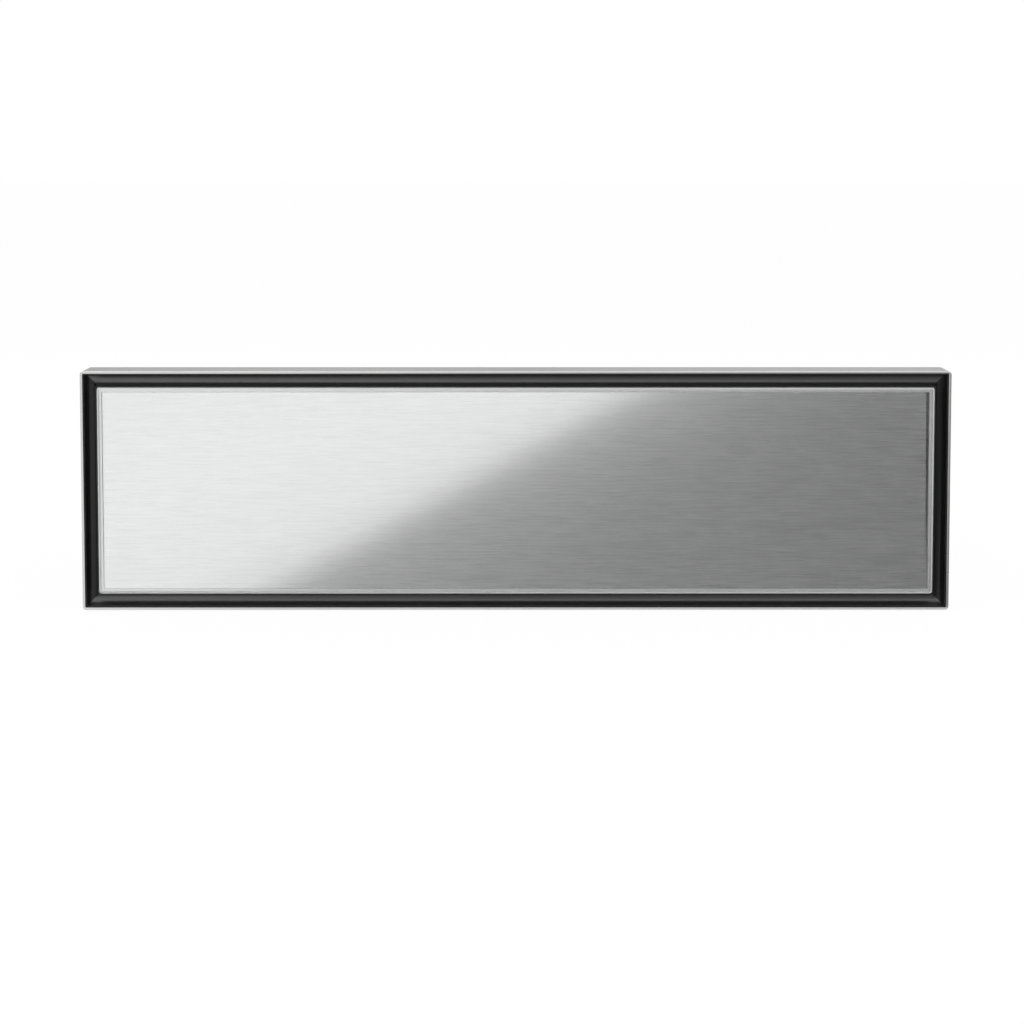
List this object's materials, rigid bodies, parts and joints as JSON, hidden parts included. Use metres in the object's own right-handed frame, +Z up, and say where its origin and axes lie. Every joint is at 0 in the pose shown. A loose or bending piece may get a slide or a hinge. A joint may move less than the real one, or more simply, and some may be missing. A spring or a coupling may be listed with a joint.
{
  "type": "built-in warming drawer",
  "caption": "Built-in warming drawer: framed glass-and-steel front without a handle, on a heated drawer that runs on ball slides in a steel housing.",
  "frame": {"origin": "on the shelf under the feet, below the middle of the whole appliance in width and depth", "axes": "+X to the right seen from the front, +Y from the front to the rear, +Z up"},
  "size_m": [0.752, 0.535, 0.21],
  "materials": {
    "rim_steel": "brushed along the rim, satin",
    "gutter_black": "satin black powder coat",
    "panel_glass": "clear float glass, ground edge",
    "panel_steel": "fine horizontal brushing",
    "aluminium": "mill finish",
    "galvanised_steel": "galvanised, faint spangle",
    "mineral_wool": "pressed fibre board",
    "stainless_steel": "fine satin",
    "element_sheath": "dull, heat darkened",
    "white_ceramic": "unglazed",
    "grey_silicone": "matt silicone",
    "black_glass": "polished glass-ceramic",
    "white_plastic": "moulded, fine grain",
    "circuit_board": "satin solder mask",
    "amber_lens": "translucent, polished",
    "black_plastic": "moulded, fine grain",
    "grey_plastic": "moulded, fine grain",
    "zinc_plated_steel": "bright zinc",
    "cage_steel": "stamped strip, lightly oiled",
    "black_rubber": "matt"
  },
  "bodies": {
    "housing": {"front_collar": "galvanised_steel", "side_panel_left": "galvanised_steel", "side_panel_right": "galvanised_steel", "base_panel": "galvanised_steel", "top_panel": "galvanised_steel", "rear_panel": "galvanised_steel", "ceiling_plate": "galvanised_steel", "top_insulation": "mineral_wool", "fixing_lug_left": "galvanised_steel", "fixing_lug_right": "galvanised_steel", "slide_outer_left": "zinc_plated_steel", "slide_outer_right": "zinc_plated_steel", "push_latch_left": "black_plastic", "push_latch_right": "black_plastic", "mains_inlet": "black_plastic", "terminal_box": "grey_plastic", "supply_lead": "black_rubber", "foot_front_left": "black_rubber", "foot_front_right": "black_rubber", "foot_rear_left": "black_rubber", "foot_rear_right": "black_rubber"},
    "drawer": {"outer_frame": "rim_steel", "gutter_frame": "gutter_black", "glass_front": "panel_glass", "steel_facing": "panel_steel", "panel_tray": "aluminium", "front_core": "galvanised_steel", "front_insulation": "mineral_wool", "inner_front": "stainless_steel", "front_bracket_left": "galvanised_steel", "front_bracket_right": "galvanised_steel", "drawer_side_left": "stainless_steel", "drawer_side_right": "stainless_steel", "drawer_back": "stainless_steel", "under_pan": "galvanised_steel", "base_insulation": "mineral_wool", "heat_reflector": "aluminium", "heating_element": "element_sheath", "glass_thermostat": "white_ceramic", "cavity_tray": "stainless_steel", "base_seal": "grey_silicone", "glass_base": "black_glass", "control_ledge": "stainless_steel", "selector_switch": "white_plastic", "power_switch": "white_plastic", "control_board": "circuit_board", "pilot_lens": "amber_lens", "lead_clamp": "grey_plastic", "slide_inner_left": "zinc_plated_steel", "slide_inner_right": "zinc_plated_steel"},
    "control_knob": {"control_knob": "black_plastic"},
    "power_button": {"power_button": "black_plastic"},
    "slide_middle_left": {"slide_middle_left": "zinc_plated_steel"},
    "slide_middle_right": {"slide_middle_right": "zinc_plated_steel"},
    "cage_outer_left": {"cage_outer_left": "cage_steel"},
    "cage_outer_right": {"cage_outer_right": "cage_steel"},
    "cage_inner_left": {"cage_inner_left": "cage_steel"},
    "cage_inner_right": {"cage_inner_right": "cage_steel"},
    "plunger_left": {"plunger_left": "white_plastic"},
    "plunger_right": {"plunger_right": "white_plastic"}
  },
  "joints": [
    {"name": "drawer_slide", "type": "slide", "parent": "housing", "child": "drawer", "axis": [0, -1, 0], "range_m": [-0.003, 0.43], "deforming": ["supply_lead"]},
    {"name": "slide_middle_left_slide", "type": "slide", "parent": "housing", "child": "slide_middle_left", "axis": [0, -1, 0], "range_m": [-0.00151, 0.21501]},
    {"name": "slide_middle_right_slide", "type": "slide", "parent": "housing", "child": "slide_middle_right", "axis": [0, -1, 0], "range_m": [-0.00151, 0.21501]},
    {"name": "cage_outer_left_slide", "type": "slide", "parent": "housing", "child": "cage_outer_left", "axis": [0, -1, 0], "range_m": [-0.00076, 0.10751]},
    {"name": "cage_outer_right_slide", "type": "slide", "parent": "housing", "child": "cage_outer_right", "axis": [0, -1, 0], "range_m": [-0.00076, 0.10751]},
    {"name": "cage_inner_left_slide", "type": "slide", "parent": "housing", "child": "cage_inner_left", "axis": [0, -1, 0], "range_m": [-0.00226, 0.32251]},
    {"name": "cage_inner_right_slide", "type": "slide", "parent": "housing", "child": "cage_inner_right", "axis": [0, -1, 0], "range_m": [-0.00226, 0.32251]},
    {"name": "plunger_left_slide", "type": "slide", "parent": "housing", "child": "plunger_left", "axis": [0, -1, 0], "range_m": [-0.00018, 0.02401]},
    {"name": "plunger_right_slide", "type": "slide", "parent": "housing", "child": "plunger_right", "axis": [0, -1, 0], "range_m": [-0.00018, 0.02401]},
    {"name": "knob_turn", "type": "hinge", "parent": "drawer", "child": "control_knob", "pos_m": [0.27, -0.1985, 0.124], "axis": [0, 0, -1], "range_deg": [0, 240]},
    {"name": "button_press", "type": "slide", "parent": "drawer", "child": "power_button", "axis": [0, 0, -1], "range_m": [0, 0.0015], "stiffness_N_per_m": 300, "springref_m": -0.001}
  ],
  "couplings": [
    {"joint": "slide_middle_left_slide", "follows": "drawer_slide", "ratio": 0.5},
    {"joint": "slide_middle_right_slide", "follows": "drawer_slide", "ratio": 0.5},
    {"joint": "cage_outer_left_slide", "follows": "drawer_slide", "ratio": 0.25},
    {"joint": "cage_outer_right_slide", "follows": "drawer_slide", "ratio": 0.25},
    {"joint": "cage_inner_left_slide", "follows": "drawer_slide", "ratio": 0.75},
    {"joint": "cage_inner_right_slide", "follows": "drawer_slide", "ratio": 0.75},
    {"joint": "plunger_left_slide", "follows": "drawer_slide", "ratio": 0.05581},
    {"joint": "plunger_right_slide", "follows": "drawer_slide", "ratio": 0.05581}
  ]
}
